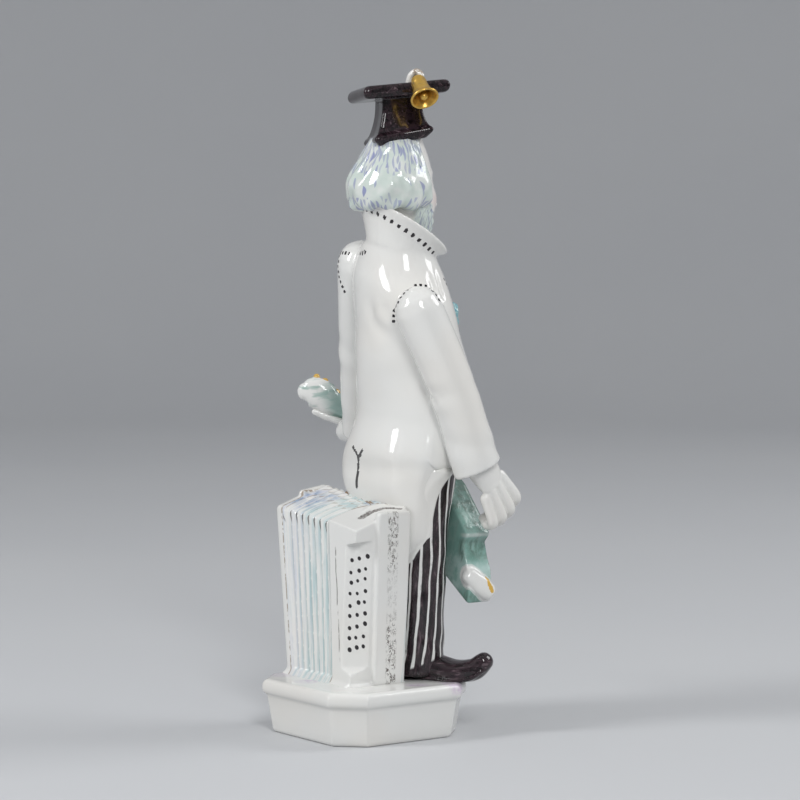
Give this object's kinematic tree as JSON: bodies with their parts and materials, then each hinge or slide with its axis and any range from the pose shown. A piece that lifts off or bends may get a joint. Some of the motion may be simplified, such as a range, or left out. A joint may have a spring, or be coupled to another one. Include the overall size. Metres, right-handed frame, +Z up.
{
  "type": "porcelain clown figurine",
  "caption": "Glazed porcelain clown musician in a tail-coat and square hat with a bell, holding a stringed instrument, an accordion behind him, on a low faceted plinth.",
  "frame": {"origin": "middle of the plinth's flat underside", "axes": "+Z up, the figure faces -Y, and his right-hand side is towards -X"},
  "size_m": [0.1515, 0.1031, 0.3207],
  "materials": {
    "glazed_porcelain": "gloss"
  },
  "bodies": {
    "root": {"clown_figurine": "glazed_porcelain"}
  },
  "joints": []
}
